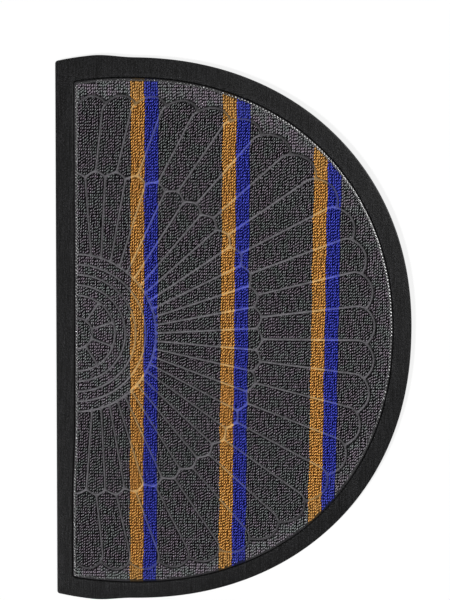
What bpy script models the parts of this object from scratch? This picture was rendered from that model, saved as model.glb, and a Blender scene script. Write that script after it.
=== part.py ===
"""Half-round doormat lying flat: a moulded rubber base with a raised border, and a tufted carpet
panel bedded in it, with a fan of petals pressed into its pile.

Metres, +Z up. The origin is under the middle of the mat's box and the straight side faces -X.
The drawing below is laid out from the straight side (x = 0) and the mat's middle line (y = 0).
"""

import math

import bmesh
import bpy

# Outline: a straight side, and an arc that is a little fuller than an ellipse
HALF_LENGTH = 0.301
ARC_REACH = 0.3098
ARC_CENTRE_X = 0.0838
ARC_POWER = 2.14
CORNER_CUT = 0.006
ARC_STEPS = 60
SHOULDER_STEPS = 8
CORNER_STEPS = 4
SIDE_STEPS = 12
MAT_WIDTH = ARC_CENTRE_X + ARC_REACH

# Unevenness of the moulding: flared corners, a tray set low, and a narrow end of the side border
CORNER_FLARE = 0.0038
CORNER_FLARE_SPAN = (0.040, 0.085)
TRAY_DROP = 0.0013
SIDE_NARROWING = 0.0026
SIDE_NARROWING_SPAN = (0.100, 0.190)
SIDE_NARROWING_REACH = (0.025, 0.060)

# Heights above the floor
RIM_HEIGHT = 0.0042
TRAY_FLOOR = 0.0018
BEDDING_GAP = 0.0003
CARPET_BOTTOM = TRAY_FLOOR + BEDDING_GAP
PRESSED_EDGE_TOP = 0.0036
PILE_TOP = 0.0054

# Widths, measured inwards from the outline
RUBBER_BORDER = 0.0195
CARPET_INSET = 0.0207
PRESSED_EDGE_WIDTH = 0.0026

# Rounded edges, as width and height
FOOT_BEVEL = 0.0008
RIM_ROUND = (0.0030, 0.0022)
LIP_ROUND = (0.0014, 0.0011)
PRESSED_EDGE_ROUND = (0.0005, 0.0005)
PILE_ROUND = (0.0010, PILE_TOP - PRESSED_EDGE_TOP)
ROUND_STEPS = 3

# Fan pressed into the pile
GROOVE_DEPTH = 0.0015
RAY_DEPTH = 0.0014
ROD_ABOVE_PILE = 0.0004
RAY_OVERLAP = 0.0001
SIDE_LINE_X = 0.0212
RING_CENTRE = (0.0233, 0.0)
RING_RADII = (0.0170, 0.0420, 0.0535, 0.0650, 0.0760, 0.0875)
RING_STEPS = 20
HUB_SPOKES_DEG = (-56.7, -19.7, 17.3, 54.3)
FAN_CENTRE = (0.0256, -0.0053)
FAN_PITCH_DEG = 7.0
FAN_HALF_COUNT = 12
SCALLOP_HALF_COUNT = 15
INNER_RAY_POINT = (0.0458, -0.0026)
INNER_ROW_CENTRE = (0.0485, -0.0020)
INNER_ROW_RADIUS = 0.1802
INNER_SCALLOP_DEPTH = 0.0062
INNER_SCALLOP_POWER = 1.4
OUTER_ROW_CENTRE = (0.0717, -0.0038)
OUTER_ROW_REACH = (0.2808, 0.2636)
OUTER_ROW_POWER = 2.27
OUTER_SCALLOP_DEPTH = 0.0086
OUTER_SCALLOP_POWER = 2.0
OUTER_ROW_SWIRL = -0.114
RAY_BEND_LENGTH = 0.009
RAY_BEND_START = -0.016
SCALLOP_STEPS = 8

# Colour, roughness
RUBBER_FINISH = ((0.018, 0.018, 0.019), 0.55)
CARPET_FINISH = ((0.047, 0.046, 0.048), 0.95)


def clear_scene():
    for obj in list(bpy.data.objects):
        bpy.data.objects.remove(obj, do_unlink=True)


def new_collection(name):
    collection = bpy.data.collections.new(name)
    bpy.context.scene.collection.children.link(collection)
    return collection


def new_material(name, finish):
    colour, roughness = finish
    material = bpy.data.materials.new(name)
    material.use_nodes = True
    shader = material.node_tree.nodes["Principled BSDF"]
    shader.inputs["Base Color"].default_value = (*colour, 1.0)
    shader.inputs["Roughness"].default_value = roughness
    shader.inputs["Metallic"].default_value = 0.0
    return material


def arc_point(angle, inset):
    """A point of the arc, moved inwards at right angles to it. 0 is the nose and 90 degrees
    the widest place."""
    c, s = math.cos(angle), math.sin(angle)
    u = math.copysign(abs(c) ** (2 / ARC_POWER), c)
    v = math.copysign(abs(s) ** (2 / ARC_POWER), s)
    nx = math.copysign(abs(u) ** (ARC_POWER - 1), u) / ARC_REACH
    ny = math.copysign(abs(v) ** (ARC_POWER - 1), v) / HALF_LENGTH
    length = math.hypot(nx, ny)
    x = ARC_CENTRE_X + ARC_REACH * u - inset * nx / length
    y = HALF_LENGTH * v - inset * ny / length
    return x, y


def corner_angle(x_wanted, inset):
    """The arc's angle, past its widest place, where it comes to x_wanted."""
    low, high = math.radians(90.0), math.radians(130.0)
    for _ in range(40):
        middle = (low + high) / 2
        if arc_point(middle, inset)[0] > x_wanted:
            low = middle
        else:
            high = middle
    return (low + high) / 2


def smooth_step(low, high, value):
    t = min(1.0, max(0.0, (value - low) / (high - low)))
    return t * t * (3 - 2 * t)


def uneven(point, inset):
    """Shifts a point of the outline by the moulding's unevenness."""
    x, y = point
    share = min(1.0, inset / RUBBER_BORDER)
    flare = CORNER_FLARE * (1 - smooth_step(*CORNER_FLARE_SPAN, x))
    narrow = SIDE_NARROWING * smooth_step(*SIDE_NARROWING_SPAN, -y)
    narrow *= 1 - smooth_step(*SIDE_NARROWING_REACH, x)
    y += (1 - share) * math.copysign(flare, y) * smooth_step(0.0, HALF_LENGTH / 2, abs(y))
    return x - share * narrow, y - share * TRAY_DROP


def outline(inset):
    """The mat's outline, moved inwards by inset and with the same number of points for any
    inset. It runs from the middle of the nose by the +Y corner and straight side and back."""
    quarter = math.radians(90.0)
    corner = arc_point(corner_angle(inset, inset), inset)
    start = corner_angle(corner[0] + CORNER_CUT, inset)
    half = [arc_point(quarter * i / (ARC_STEPS // 2), inset) for i in range(ARC_STEPS // 2)]
    half += [
        arc_point(quarter + (start - quarter) * i / SHOULDER_STEPS, inset)
        for i in range(SHOULDER_STEPS + 1)
    ]
    a, b = half[-1], (corner[0], corner[1] - CORNER_CUT)
    for i in range(1, CORNER_STEPS + 1):
        t = i / CORNER_STEPS
        half.append(
            tuple((1 - t) ** 2 * a[k] + 2 * t * (1 - t) * corner[k] + t * t * b[k] for k in (0, 1))
        )
    side = [(b[0], b[1] * (1 - 2 * i / SIDE_STEPS)) for i in range(1, SIDE_STEPS)]
    whole = half + side + [(x, -y) for x, y in reversed(half[1:])]
    return [uneven(point, inset) for point in whole]


def place(point, z):
    """From the drawing to the part's own frame."""
    return (point[0] - MAT_WIDTH / 2, point[1], z)


def lofted_slab(name, profile, material, collection):
    """A closed solid whose wall follows profile, rows of (inset, height), round the outline."""
    bm = bmesh.new()
    rings = [[bm.verts.new(place(p, height)) for p in outline(inset)] for inset, height in profile]
    for lower, upper in zip(rings, rings[1:]):
        for i in range(len(lower)):
            bm.faces.new((lower[i - 1], lower[i], upper[i], upper[i - 1]))
    bm.faces.new(rings[0])
    bm.faces.new(rings[-1])
    bmesh.ops.recalc_face_normals(bm, faces=bm.faces)
    mesh = bpy.data.meshes.new(name)
    bm.to_mesh(mesh)
    bm.free()
    mesh.materials.append(material)
    obj = bpy.data.objects.new(name, mesh)
    collection.objects.link(obj)
    return obj


def rounded_edge(inset, top, size, side):
    """Profile points up a wall at inset and over its rounded top edge. The top lies inwards of
    the wall where side is 1, and outwards of it where side is -1."""
    width, height = size
    points = []
    for i in range(ROUND_STEPS + 1):
        angle = math.radians(90.0 * i / ROUND_STEPS)
        across = side * width * (1 - math.cos(angle))
        points.append((inset + across, top - height * (1 - math.sin(angle))))
    return points


def make_rubber_base(collection):
    profile = [(FOOT_BEVEL, 0.0), (0.0, FOOT_BEVEL)]
    profile += rounded_edge(0.0, RIM_HEIGHT, RIM_ROUND, 1)
    profile += reversed(rounded_edge(RUBBER_BORDER, RIM_HEIGHT, LIP_ROUND, -1))
    profile += [(RUBBER_BORDER, TRAY_FLOOR)]
    return lofted_slab("rubber_base", profile, new_material("rubber", RUBBER_FINISH), collection)


def make_carpet(collection):
    profile = [(CARPET_INSET, CARPET_BOTTOM)]
    profile += rounded_edge(CARPET_INSET, PRESSED_EDGE_TOP, PRESSED_EDGE_ROUND, 1)
    profile += rounded_edge(CARPET_INSET + PRESSED_EDGE_WIDTH, PILE_TOP, PILE_ROUND, 1)
    return lofted_slab("carpet", profile, new_material("tufted_pile", CARPET_FINISH), collection)


def from_point(centre, radius, angle):
    return centre[0] + radius * math.cos(angle), centre[1] + radius * math.sin(angle)


def inner_row_reach(angle):
    """Distance from the fan's centre to the circle that the inner row's petal tips touch."""
    dx, dy = FAN_CENTRE[0] - INNER_ROW_CENTRE[0], FAN_CENTRE[1] - INNER_ROW_CENTRE[1]
    half_b = dx * math.cos(angle) + dy * math.sin(angle)
    return -half_b + math.sqrt(half_b**2 - (dx**2 + dy**2 - INNER_ROW_RADIUS**2))


def outer_row_reach(angle):
    """Distance from the fan's centre to the smaller arc that the outer row's tips touch."""
    low, high = 0.0, 2 * HALF_LENGTH
    for _ in range(40):
        middle = (low + high) / 2
        x, y = from_point(FAN_CENTRE, middle, angle)
        u = abs(x - OUTER_ROW_CENTRE[0]) / OUTER_ROW_REACH[0]
        v = abs(y - OUTER_ROW_CENTRE[1]) / OUTER_ROW_REACH[1]
        if u**OUTER_ROW_POWER + v**OUTER_ROW_POWER < 1:
            low = middle
        else:
            high = middle
    return low


def fan_angle(pitches):
    return math.radians(pitches * FAN_PITCH_DEG)


def scallop_route(reach, depth, power, tip_offset):
    """A line of round petal ends, from one straight-side line to the other. Tips stand at
    whole pitches from the fan's middle, shifted by tip_offset of a pitch."""
    steps = SCALLOP_HALF_COUNT * SCALLOP_STEPS
    route = []
    for i in range(-steps, steps + 1):
        turn = i / SCALLOP_STEPS
        from_tip = 2 * abs(turn - round(turn))
        angle = fan_angle(turn + tip_offset)
        route.append(from_point(FAN_CENTRE, reach(angle) - depth * from_tip**power, angle))
    return [p for p in route if p[0] > SIDE_LINE_X]


def ring_routes():
    routes = []
    for radius in RING_RADII:
        arc = [
            from_point(RING_CENTRE, radius, math.pi * (i / RING_STEPS - 0.5))
            for i in range(RING_STEPS + 1)
        ]
        routes.append([(SIDE_LINE_X, arc[0][1])] + arc + [(SIDE_LINE_X, arc[-1][1])])
    return routes


def hub_routes():
    inner, outer = RING_RADII[0] - RAY_OVERLAP, RING_RADII[1] + RAY_OVERLAP
    return [
        [from_point(RING_CENTRE, radius, math.radians(deg)) for radius in (inner, outer)]
        for deg in HUB_SPOKES_DEG
    ]


def inner_ray_routes():
    """Straight lines between the inner petals. They point at a place ahead of the fan's
    centre, and run from the outermost ring to the valleys of the inner scallops."""
    routes = []
    for i in range(-FAN_HALF_COUNT - 1, FAN_HALF_COUNT + 1):
        angle = fan_angle(i + 0.5)
        end = from_point(FAN_CENTRE, inner_row_reach(angle) - INNER_SCALLOP_DEPTH, angle)
        dx, dy = end[0] - INNER_RAY_POINT[0], end[1] - INNER_RAY_POINT[1]
        length = math.hypot(dx, dy)
        dx, dy = dx / length, dy / length
        ox, oy = INNER_RAY_POINT[0] - RING_CENTRE[0], INNER_RAY_POINT[1] - RING_CENTRE[1]
        half_b = ox * dx + oy * dy
        to_ring = -half_b + math.sqrt(half_b**2 - (ox**2 + oy**2 - RING_RADII[-1] ** 2))
        begin, finish = to_ring - RAY_OVERLAP, length + RAY_OVERLAP
        routes.append(
            [(INNER_RAY_POINT[0] + dx * r, INNER_RAY_POINT[1] + dy * r) for r in (begin, finish)]
        )
    return routes


def outer_ray_routes():
    """Lines between the outer petals, from each inner tip to an outer valley. Valleys lie
    clockwise of the tips, and each line bends over to its valley near its end."""
    routes = []
    for i in range(-FAN_HALF_COUNT, FAN_HALF_COUNT + 1):
        begin = inner_row_reach(fan_angle(i)) - RAY_OVERLAP
        finish = outer_row_reach(fan_angle(i + OUTER_ROW_SWIRL)) - OUTER_SCALLOP_DEPTH
        stops = [
            (begin, 0.0),
            (finish - RAY_BEND_LENGTH, RAY_BEND_START),
            (finish + RAY_OVERLAP, OUTER_ROW_SWIRL),
        ]
        routes.append([from_point(FAN_CENTRE, r, fan_angle(i + turn)) for r, turn in stops])
    return routes


def press_grooves(carpet, name, routes, depth, collection):
    """Cuts four-sided rods out of the pile's top, so that each leaves a groove. A rod's middle
    stands a little above the pile, so that no edge of it lies in the pile's top face."""
    curve = bpy.data.curves.new(name, "CURVE")
    curve.dimensions = "3D"
    curve.twist_mode = "Z_UP"
    curve.bevel_depth = depth + ROD_ABOVE_PILE
    curve.bevel_resolution = 0
    curve.use_fill_caps = True
    for route in routes:
        spline = curve.splines.new("POLY")
        spline.points.add(len(route) - 1)
        for point, xy in zip(spline.points, route):
            point.co = (*place(xy, PILE_TOP + ROD_ABOVE_PILE), 1.0)
    rods = bpy.data.objects.new(name, curve)
    collection.objects.link(rods)
    graph = bpy.context.evaluated_depsgraph_get()
    mesh = bpy.data.meshes.new_from_object(rods.evaluated_get(graph))
    bpy.data.objects.remove(rods, do_unlink=True)
    bm = bmesh.new()
    bm.from_mesh(mesh)
    bmesh.ops.remove_doubles(bm, verts=bm.verts, dist=1e-6)
    bmesh.ops.recalc_face_normals(bm, faces=bm.faces)
    bm.to_mesh(mesh)
    bm.free()
    cutter = bpy.data.objects.new(name, mesh)
    cutter.hide_render = True
    cutter.display_type = "WIRE"
    collection.objects.link(cutter)
    cut = carpet.modifiers.new(name, "BOOLEAN")
    cut.operation = "DIFFERENCE"
    cut.object = cutter


def press_fan(carpet, collection):
    inner_scallops = scallop_route(
        inner_row_reach, INNER_SCALLOP_DEPTH, INNER_SCALLOP_POWER, 0.0
    )
    outer_scallops = scallop_route(
        outer_row_reach, OUTER_SCALLOP_DEPTH, OUTER_SCALLOP_POWER, 0.5 + OUTER_ROW_SWIRL
    )
    press_grooves(carpet, "press_rings", ring_routes(), GROOVE_DEPTH, collection)
    press_grooves(carpet, "press_inner_tips", [inner_scallops], GROOVE_DEPTH, collection)
    press_grooves(carpet, "press_outer_tips", [outer_scallops], GROOVE_DEPTH, collection)
    press_grooves(carpet, "press_hub", hub_routes(), RAY_DEPTH, collection)
    press_grooves(carpet, "press_inner_rays", inner_ray_routes(), RAY_DEPTH, collection)
    press_grooves(carpet, "press_outer_rays", outer_ray_routes(), RAY_DEPTH, collection)


def main():
    clear_scene()
    parts = new_collection("half_round_doormat")
    cutters = new_collection("press_tools")
    make_rubber_base(parts)
    carpet = make_carpet(parts)
    press_fan(carpet, cutters)


main()
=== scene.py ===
import math
from functools import cache

import bmesh
import bpy
import numpy as np
from mathutils import Matrix, Vector


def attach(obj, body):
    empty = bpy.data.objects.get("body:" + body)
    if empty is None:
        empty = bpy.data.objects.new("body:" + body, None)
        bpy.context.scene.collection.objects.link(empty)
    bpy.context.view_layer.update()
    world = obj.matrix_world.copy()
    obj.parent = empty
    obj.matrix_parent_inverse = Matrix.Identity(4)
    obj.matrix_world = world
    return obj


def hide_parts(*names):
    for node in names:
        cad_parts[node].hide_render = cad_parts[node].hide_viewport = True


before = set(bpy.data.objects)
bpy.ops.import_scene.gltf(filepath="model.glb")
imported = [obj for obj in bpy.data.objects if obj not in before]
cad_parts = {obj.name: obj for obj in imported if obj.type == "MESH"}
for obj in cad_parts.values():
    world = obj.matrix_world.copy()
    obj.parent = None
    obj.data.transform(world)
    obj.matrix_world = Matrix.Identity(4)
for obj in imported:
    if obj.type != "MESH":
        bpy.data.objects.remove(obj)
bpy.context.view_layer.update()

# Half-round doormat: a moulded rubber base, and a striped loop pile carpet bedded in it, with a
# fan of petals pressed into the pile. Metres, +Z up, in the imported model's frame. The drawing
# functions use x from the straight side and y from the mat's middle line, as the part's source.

bl_info = {
    "name": "Half-round doormat",
    "version": (1, 0, 0),
    "blender": (4, 5, 0),
    "location": "View3D > Sidebar > Doormat",
    "description": "Moulded rubber base and striped loop pile carpet with a pressed fan",
    "category": "Object",
}

# Outline of the mat
HALF_LENGTH = 0.301
ARC_REACH = 0.3098
ARC_CENTRE_X = 0.0838
ARC_POWER = 2.14
CORNER_CUT = 0.003
MAT_WIDTH = ARC_CENTRE_X + ARC_REACH
CORNER_FLARE = 0.0038
CORNER_FLARE_SPAN = (0.040, 0.085)
TRAY_DROP = 0.0013
SIDE_NARROWING = 0.0026
SIDE_NARROWING_SPAN = (0.100, 0.190)
SIDE_NARROWING_REACH = (0.025, 0.060)
RUBBER_BORDER = 0.0195
CARPET_INSET = 0.0207
RIM_INSET = 0.0231
PILE_INSET = 0.0233
ARC_STEPS = 100
SHOULDER_STEPS = 24
CORNER_STEPS = 8
SIDE_STEPS = 40
HALVINGS = 40

# Heights above the floor
RIM_HEIGHT = 0.0042
LIP_HEIGHT = RIM_HEIGHT + 0.0001
LIP_BOTTOM = 0.0029
TRAY_FLOOR = 0.0018
CARPET_BOTTOM = 0.0021
LOWEST_YARN = CARPET_BOTTOM + 0.0003
GROUND_TOP = 0.0034
FUSED_EDGE_TOP = 0.0036
LINE_FLOOR = 0.0042
PILE_TOP = 0.0054
PILE_DEPTH = PILE_TOP - GROUND_TOP
FLOOR_DROP = 0.0003

# Sections of the rubber base, rows of (inset, height), and sizes of its and the carpet's rounds
RUBBER_FOOT = ((0.0008, 0.0), (0.0003, 0.00015), (0.0, 0.0006))
RUBBER_TOP = ((0.0155, RIM_HEIGHT), (0.0166, RIM_HEIGHT), (0.0175, LIP_HEIGHT))
RUBBER_POCKET = (
    (RUBBER_BORDER, 0.0025),
    (RUBBER_BORDER, TRAY_FLOOR + 0.0002),
    (RUBBER_BORDER + 0.0002, TRAY_FLOOR),
)
RIM_ROUND_DEPTH = 0.0022
LIP_ROUND_DEPTH = 0.0009
EDGE_ROUND = (0.0013, 0.0010)

# Insets between which the rubber's tone changes, and how much: painted shade darkens the outer
# wall, a painted highlight lightens the inner lip, and painted dots like notches break that
# highlight up
PAINTED_WALL_SHADE_SPAN = (0.0002, 0.0024)
PAINTED_WALL_SHADE = 0.25
LIP_HIGHLIGHT_RISE_SPAN = (0.0163, 0.0178)
LIP_HIGHLIGHT_FALL_SPAN = (0.0188, 0.0194)
PAINTED_LIP_HIGHLIGHT = 0.3
PAINTED_NOTCH_HIGHLIGHT = 0.45

# Streaks in the rubber, rows of (noise scale along each axis, share)
RUBBER_STREAKS = (((1500.0, 40.0, 60.0), 1.0), ((60.0, 22.0, 60.0), 0.08))

# Carpet's fused rim: its section, rows of (outwards, height), its mesh's parts to each yarn end,
# how uneven its swellings and gloss are, its share of colour, the painted crevice shade of the
# carpet's edge and dull rim, and where it is dull
RIM_SECTION = (
    (-0.0014, 0.0030),
    (-0.0013, 0.0038),
    (-0.0009, 0.0043),
    (-0.0003, 0.00445),
    (0.0005, 0.0042),
    (0.0011, 0.0038),
    (0.0016, 0.0034),
    (0.0016, 0.0030),
)
RIM_PARTS = 4
BEAD_STRAY = 0.3
RIM_PATCHES = 0.4
RIM_SHADE = 0.05
PAINTED_CREVICE_SHADE = 0.06
LEAST_ROUGHNESS = 0.18
DULL_SIDE_COSINES = (0.80, 0.92)

# Fan pressed into the pile
SIDE_LINE_X = 0.0212
RING_CENTRE = (0.0233, 0.0)
RING_RADII = (0.0170, 0.0420, 0.0535, 0.0650, 0.0760, 0.0875)
RING_STEPS = 48
HUB_SPOKES_DEG = (-56.7, -19.7, 17.3, 54.3)
FAN_CENTRE = (0.0256, -0.0053)
FAN_PITCH_DEG = 7.0
FAN_TURN_DEG = 0.2
FAN_HALF_COUNT = 12
SCALLOP_HALF_COUNT = 15
INNER_RAY_POINT = (0.0458, -0.0026)
INNER_ROW_CENTRE = (0.0485, -0.0020)
INNER_ROW_RADIUS = 0.1802
INNER_SCALLOP_DEPTH = 0.0062
INNER_SCALLOP_POWER = 1.4
OUTER_ROW_CENTRE = (0.0717, -0.0038)
OUTER_ROW_REACH = (0.2808, 0.2636)
OUTER_ROW_POWER = 2.27
OUTER_SCALLOP_DEPTH = 0.0086
OUTER_SCALLOP_POWER = 2.0
OUTER_ROW_SWIRL = -0.114
RAY_BEND_LENGTH = 0.010
RAY_BEND_START = -0.010
RAY_BEND_STEPS = 6
SCALLOP_STEPS = 16

# Pressed lines: their fill where they meet, how much of a line is level, how far it sinks and
# overruns the pile's edge, how much darker it is near the outer petals' ends and by painted shadow
# across the key light's way, and how unevenly it is fused
LINE_MESH_STEP = 0.0007
WEB_SIZE = 0.0008
LINE_LEVEL_SHARE = 0.8
LINE_SINK = 0.0003
LINE_OVERRUN = 0.0006
PETAL_END_SPAN = (0.001, 0.003)
END_LOSS_SPAN = (0.10, 0.20)
LEAST_SLOPE = 0.05
PAINTED_SHADOW_LOSS = 0.60
END_LOSS = 0.50
FUSING_STRAY = 0.07

# Stripe pairs, each an ochre band and a blue one
FIRST_STRIPE_X = 0.0825
STRIPE_REPEAT = 0.100
STRIPE_WIDTH = 0.015
BAND_WANDER = 0.0016

# Height map of the pile
MAP_STEP = 0.0004
MAP_REACH = 0.007
MAP_CORNER = (0.018, -0.291)
MAP_SIZE = (0.358, 0.580)
END_SPAN = (0.10, 0.24)
PETAL_EDGE_WIDTH = 0.0015
TRENCH_WIDTH = 0.0006
TRENCH_DRIFT = 0.0006
FLAT_TRENCH_LOSS = 0.3
MIDDLE_FLATNESS = 0.3
HUB_FLATNESS = 0.35
HUB_FADE = 0.004
PILE_EDGE_SPAN = (-0.0002, 0.0012)
LINE_PILE_SHARE = 0.12
EDGE_PILE_SHARE = 0.10

# Columns and rows of loops
PILE_START_X = 0.020
PILE_HALF_LENGTH = 0.29
ROOT_TO_EDGE = 0.0004
ROOT_TO_LINE = 0.0006

# A loop's sections from end to end, and its corners round a section (sideways, up)
LOOP_ALONG = (-1.0, -0.76, 0.0, 0.76, 1.0)
LOOP_THICKNESS = (0.72, 0.95, 1.05, 0.95, 0.72)
LOOP_TILT = (1.15, 0.75, 0.0, -0.75, -1.15)
LOOP_FOOT = -0.35
LOOP_SHOULDER = 0.60
LOOP_CORNERS = ((0.0, 1.0), (1.0, 0.0), (0.0, -1.0), (-1.0, 0.0))
LOOP_RISE = 0.95
RISE_LIMITS = (0.5, 1.0)
RISE_STRAY = 0.04
TURN_STRAY = 0.15
LENGTH_STRAY = 0.10
LEAN_STRAY = 0.00012

# Yarn, darkened by painted shade: heights over the backing between which a loop's painted shade
# lifts, the shares of its colour left by painted shade and painted bounce light on its parts and
# at its foot, the painted shade of the backing between the loops, and how much less painted shade
# a flattened loop gets
PAINTED_SHADE_SPAN = (0.0004, PILE_DEPTH - 0.0003)
PAINTED_SHADE_POWER = 2.6
PAINTED_SHOULDER_SHADE = 0.85
PAINTED_SIDE_SHADE = 0.28
PAINTED_END_SHADE = 0.12
PAINTED_UNDERSIDE_SHADE = 0.1
TONE_STRAY = 0.03
TONE_LIMITS = (0.3, 2.2)
PAINTED_BOUNCE_POWER = 1.6
CHARCOAL_PAINTED_FOOT_SHADE = 0.01
STRIPE_PAINTED_FOOT_SHADE = 2.0
PAINTED_GROUND_SHADE = 0.04
PAINTED_STRIPE_GROUND_SHADE = 0.30
FLAT_PAINTED_SHADE_FILL = 0.95
FLAT_PAINTED_SHADE_EASE = 0.35
DYE_CONTRAST = 4.0
WARM_CAST = (1.10, 0.94, 1.06)
COOL_CAST = (0.90, 1.05, 0.94)

# Waves, rows of (strength, turn per first coordinate, turn per second coordinate, phase)
FEED_WAVES = ((1.0, 2.4, 170.0, 0.0), (0.7, 4.08, 95.0, 0.5))
COLUMN_WAVES = ((1.0, 1.9, 310.0, 0.0), (1.0, -2.7, 190.0, 0.0))
BAND_WAVES = ((1.0, 14.0, 105.0, 0.0), (0.7, -23.0, 43.0, 1.0))
FUSING_WAVES = ((1.0, 230.0, 310.0, 0.0), (1.0, 410.0, -150.0, 0.7), (1.0, -75.0, 90.0, 0.0))
RIM_WAVES = ((0.5, 0.71, 0.0, 0.0), (0.5, 0.43, 0.0, 1.0))

# Seeds of the random draws
RIM_SEED = 7
ROOTS_SEED = 11
FIELD_SEED = 100
STRIPE_SEED = 200

# Floor and camera
FLOOR_REACH = 4.0
CAMERA_TARGET = (-0.01019, 0.03856, 0.0054)
CAMERA_TILT_DEG = 4.164
CAMERA_ROLL_DEG = 0.5704
LENS_PER_SENSOR = 1.45


def metres(name, text, default):
    return bpy.props.FloatProperty(
        name=name, description=text, default=default, min=0.0, unit="LENGTH", precision=5
    )


def plain(name, text, default, top=1.0):
    return bpy.props.FloatProperty(name=name, description=text, default=default, min=0.0, max=top)


def degrees(name, text, default):
    return bpy.props.FloatProperty(
        name=name, description=text, default=math.radians(default), subtype="ANGLE"
    )


def rgb(name, text, default):
    return bpy.props.FloatVectorProperty(
        name=name, description=text, default=default, min=0.0, max=1.0, size=3, subtype="COLOR"
    )


class DOORMAT_PG_rubber(bpy.types.PropertyGroup):
    """Moulded rubber base."""

    rim_round: metres("Rim round", "How far the outer edge's rounding runs inwards", 0.0018)
    lip_round: metres("Lip round", "Width of the rounding beside the carpet", 0.0010)
    lip_bulge: metres("Lip bulge", "How far the lip bulges over the carpet's edge", 0.0004)
    colour: rgb("Rubber", "Colour of the rubber", (0.0046, 0.0046, 0.0049))
    roughness: plain("Roughness", "Roughness of the rubber's skin", 0.55)
    gloss: plain("Gloss", "Specular level of the rubber", 0.17)
    streaks: plain("Streaks", "Strength of the flow streaks", 2.6, 9.0)
    specks: plain("Specks", "Strength of the specks in the rubber", 9.0, 9.0)
    # Pitch of the painted highlight dots along the lip, which are colour only, not notches cut in
    # it.
    painted_notch_pitch: metres("Notch pitch", "Pitch of the fine notches along the lip", 0.0032)


class DOORMAT_PG_pile(bpy.types.PropertyGroup):
    """Tufted loop pile."""

    column_pitch: metres("Gauge", "Distance between columns of loops", 0.0025)
    stitch_pitch: metres("Stitch", "Distance between loops of a column", 0.00328)
    loop_length: metres("Loop length", "Length of a loop seen from above", 0.0034)
    yarn_width: metres("Yarn", "Thickness of the yarn", 0.00104)
    turn: degrees("Turn", "How far a loop is turned from its diagonal row", -2.0)
    feed: metres("Feed", "Unevenness of the columns' places along the mat", 0.0005)
    wander: metres("Wander", "How far a column sways across the mat", 0.0002)
    band_sway: metres("Band sway", "How far the columns sway together", 0.00045)
    stray: metres("Stray", "Random scatter of a loop's place", 0.0001)
    charcoal: rgb("Charcoal", "Colour of the fields' yarn", (0.288, 0.275, 0.298))
    ochre: rgb("Ochre", "Colour of the first stripe's yarn", (0.462, 0.277, 0.099))
    blue: rgb("Blue", "Colour of the second stripe's yarn", (0.066, 0.078, 0.338))
    tint: plain("Tint", "Strength of the charcoal's uneven dye", 0.9)
    flecks: plain("Flecks", "Strength of the flecks in the yarn", 2.5, 9.0)
    fleck_scale: plain("Fleck scale", "Flecks per metre", 1100.0, 9000.0)


class DOORMAT_PG_press(bpy.types.PropertyGroup):
    """What the mould presses into the pile."""

    line_width: metres("Line width", "Width of a pressed line's flat floor", 0.0021)
    side_width: metres("Side width", "How far the pile beside a line leans down", 0.0006)
    line_shade: plain("Line shade", "Share of the charcoal on the lines", 0.312)
    stripe_line_shade: plain("Stripe line shade", "Share of the stripes' colours", 0.83)
    # Painted shadow: the lines are drawn darkest where they run across this direction, as the pile
    # beside them would shade them from the key light.
    shadow_turn: degrees("Lift turn", "Direction across which the lines are least fused", 25.0)
    trench: metres("Trench", "From the outer petals' ends to the cut outside them", 0.0023)
    trench_depth: plain("Trench depth", "Depth of the cut, as a share of the pile", 0.70)
    flat_press: plain("Flat press", "How much lower the pile outside the fan is", 0.40)
    flat_widening: plain("Flat widening", "How much wider its loops are", 0.75)
    flat_shade: plain("Flat shade", "How much darker its yarn is", 0.33)
    bead_pitch: metres("Bead pitch", "Pitch of the yarn ends along the rim", 0.0036)
    rim_swell: metres("Rim swell", "How far the rim swells at a yarn end", 0.00055)
    rim_sway: metres("Rim sway", "How far the rim strays in and out", 0.00025)
    dull_turn: degrees("Dull turn", "Side where the rim is pressed least, from +X", -65.0)
    dull_sink: metres("Dull sink", "How much lower the rim lies there", 0.0006)
    dull_reach: metres("Dull reach", "How much further out the loops stand there", 0.0010)
    rim_roughness: plain("Rim roughness", "Roughness of the rim", 0.38)
    rim_gloss: plain("Rim gloss", "Specular level of the rim", 1.0)


class DOORMAT_PG_stage(bpy.types.PropertyGroup):
    """Floor, lights and camera."""

    floor: rgb("Floor", "Colour of the floor", (0.09, 0.09, 0.09))
    glow: plain("Floor glow", "The floor's own light, which softens the shadow", 0.86)
    key: plain("Key light", "Strength of the key light", 4.0, 20.0)
    key_turn: degrees("Key turn", "Direction that the key light comes from, from +X", 212.0)
    key_height: degrees("Key height", "Height of the key light over the floor", 30.0)
    key_gloss: plain("Key gloss", "Strength of the gloss on the key light's side", 1.2, 20.0)
    far_gloss: plain("Far gloss", "Strength of the gloss on the other side", 2.9, 20.0)
    far_turn: degrees("Far turn", "Direction that this gloss comes from, from +X", 30.0)
    lamp_width: degrees("Lamp width", "Width of each lamp as the mat sees it", 8.0)
    sky: plain("Sky light", "Strength of the even light", 0.26, 5.0)
    distance: metres("Camera distance", "From the camera to the mat", 0.95813)


def settings(name):
    return getattr(bpy.context.scene, "doormat_" + name)


def soft_ramp(low, high, values):
    """Rises smoothly from 0 at low to 1 at high."""
    t = np.clip((values - low) / (high - low), 0.0, 1.0)
    return t * t * (3 - 2 * t)


def lifted(least, share):
    """Moves a share between 0 and 1 to between least and 1."""
    return least + (1 - least) * share


def waves(rows, u, v):
    """A sum of sine waves, from rows of (strength, turn per u, turn per v, phase)."""
    return sum(strength * np.sin(a * u + b * v + phase) for strength, a, b, phase in rows)


def halve_between(low, high, is_before):
    """The value between low and high up to which is_before holds."""
    for _ in range(HALVINGS):
        middle = (low + high) / 2
        if is_before(middle):
            low = middle
        else:
            high = middle
    return low


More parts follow.
